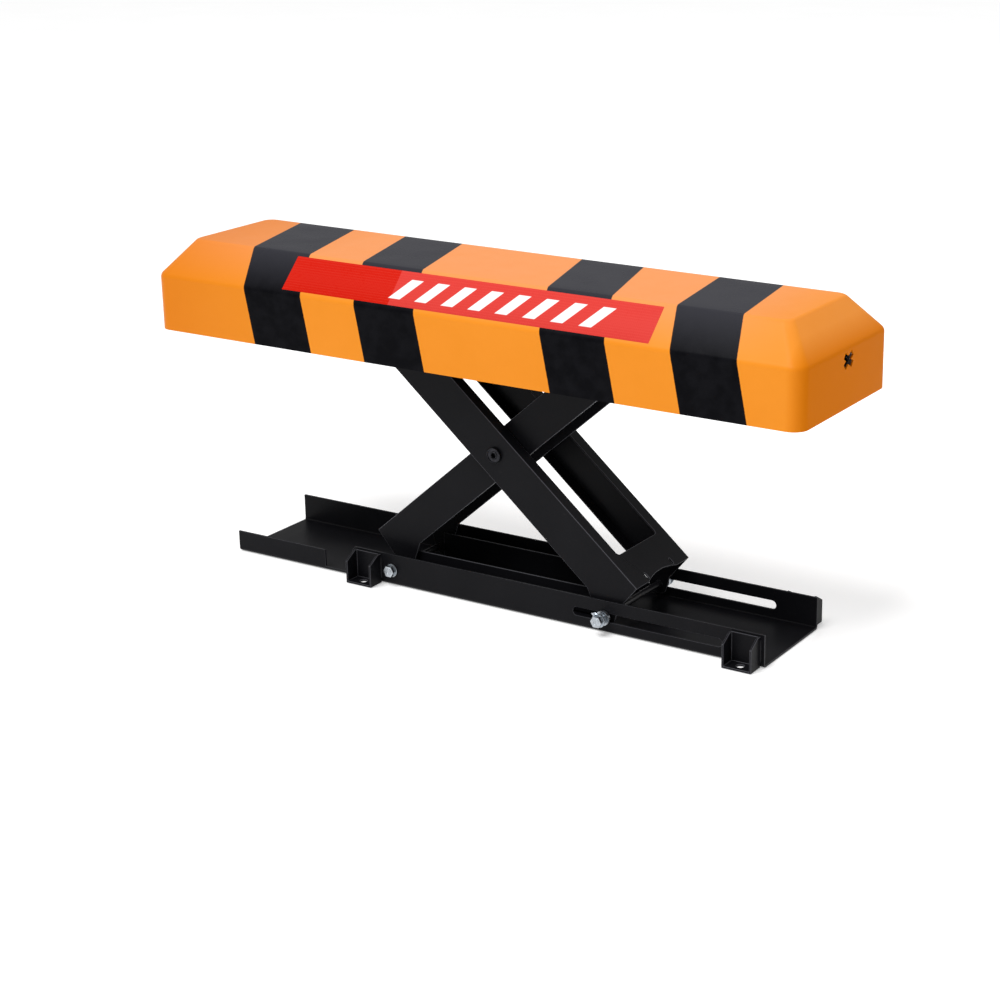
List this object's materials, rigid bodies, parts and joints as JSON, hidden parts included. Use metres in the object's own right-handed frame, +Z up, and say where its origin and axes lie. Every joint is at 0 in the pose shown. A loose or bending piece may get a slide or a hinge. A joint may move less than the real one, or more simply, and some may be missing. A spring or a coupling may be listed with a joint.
{
  "type": "folding_parking_lock",
  "caption": "Remote-controlled folding parking barrier: a striped orange cover bar raised on a scissor of black channel arms over a bolted floor channel",
  "frame": {"origin": "on the ground under the middle of the cover, raised", "axes": "+X along the bar toward the keyhole, +Y to the back, +Z up"},
  "size_m": [0.9, 0.222, 0.4085],
  "materials": {
    "orange_paint": "orange gloss powder coat, with black slanted stripes and a red band",
    "black_coat": "satin black powder coat",
    "zinc_plate": "bright zinc plate",
    "bright_steel": "rolled thread, oiled",
    "motor_steel": "drawn steel can",
    "alloy": "die cast",
    "brass": "machined",
    "grey_plastic": "moulded",
    "black_plastic": "moulded",
    "board_green": "solder mask",
    "cell_wrap": "shrink wrap"
  },
  "bodies": {
    "base": {"anchor_bracket_front_left": "black_coat", "anchor_bracket_front_right": "black_coat", "anchor_bracket_rear_left": "black_coat", "anchor_bracket_rear_right": "black_coat", "base_channel": "black_coat", "fixed_pivot_bolt": "zinc_plate", "fixed_pivot_nut": "zinc_plate", "fixed_pivot_spacer_front": "zinc_plate", "fixed_pivot_spacer_rear": "zinc_plate", "fixed_pivot_washer_front": "zinc_plate", "fixed_pivot_washer_rear": "zinc_plate", "inner_guide_channel": "black_coat"},
    "inner_arm_body": {"inner_arm": "black_coat"},
    "outer_arm_body": {"centre_pivot_bolt_front": "black_coat", "centre_pivot_bolt_rear": "black_coat", "centre_pivot_bush_front": "brass", "centre_pivot_bush_rear": "brass", "centre_pivot_nut_front": "zinc_plate", "centre_pivot_nut_rear": "zinc_plate", "outer_arm": "black_coat", "slider_bolt": "zinc_plate", "slider_collar_front": "zinc_plate", "slider_collar_rear": "zinc_plate", "slider_nut": "zinc_plate", "slider_washer_front": "zinc_plate", "slider_washer_rear": "zinc_plate"},
    "drive_yoke": {"drive_nut": "brass", "drive_rod": "zinc_plate", "drive_rod_nut": "zinc_plate", "drive_rod_washer_front": "zinc_plate", "drive_rod_washer_rear": "zinc_plate"},
    "screw": {"lead_screw": "bright_steel", "screw_coupling": "alloy"},
    "lock": {"lock_plug": "zinc_plate", "lock_cam": "zinc_plate"},
    "head": {"aerial": "black_plastic", "battery_case": "grey_plastic", "battery_cell_1": "cell_wrap", "battery_cell_2": "cell_wrap", "battery_cell_3": "cell_wrap", "battery_cell_4": "cell_wrap", "battery_lid": "grey_plastic", "circuit_board": "board_green", "controller_case": "grey_plastic", "cover_hook": "zinc_plate", "cover_shell": "orange_paint", "equipment_tray": "black_coat", "gearbox": "alloy", "lock_housing": "alloy", "lock_keeper": "zinc_plate", "motor": "motor_steel", "motor_saddle": "alloy", "screw_bearing_left": "alloy", "screw_bearing_right": "alloy", "top_rail": "black_coat", "upper_pivot_bolt": "zinc_plate", "upper_pivot_nut": "zinc_plate", "upper_pivot_washer_front": "zinc_plate", "upper_pivot_washer_rear": "zinc_plate"}
  },
  "joints": [
    {"name": "lift", "type": "hinge", "parent": "base", "child": "inner_arm_body", "pos_m": [-0.1304, 0, 0.0193], "axis": [0, 1, 0], "range_deg": [0, 40.6]},
    {"name": "scissor_centre", "type": "hinge", "parent": "inner_arm_body", "child": "outer_arm_body", "pos_m": [0.02406, 0, 0.19251], "axis": [0, 1, 0], "range_deg": [-81.2, 0]},
    {"name": "head_pivot", "type": "hinge", "parent": "outer_arm_body", "child": "head", "pos_m": [-0.12454, 0, 0.37256], "axis": [0, 1, 0], "range_deg": [0, 40.6]},
    {"name": "drive_pivot", "type": "hinge", "parent": "inner_arm_body", "child": "drive_yoke", "pos_m": [0.17266, 0, 0.37256], "axis": [0, 1, 0], "range_deg": [-40.6, 0]},
    {"name": "screw_spin", "type": "hinge", "parent": "head", "child": "screw", "pos_m": [0, 0, 0.383], "axis": [1, 0, 0], "continuous": true},
    {"name": "lock_turn", "type": "hinge", "parent": "head", "child": "lock", "pos_m": [0.44, 0.0035, 0.352], "axis": [1, 0, 0], "range_deg": [0, 90]}
  ],
  "couplings": [
    {"joint": "scissor_centre", "follows": "lift", "ratio": -2},
    {"joint": "head_pivot", "follows": "lift", "ratio": 1},
    {"joint": "drive_pivot", "follows": "lift", "ratio": -1}
  ]
}
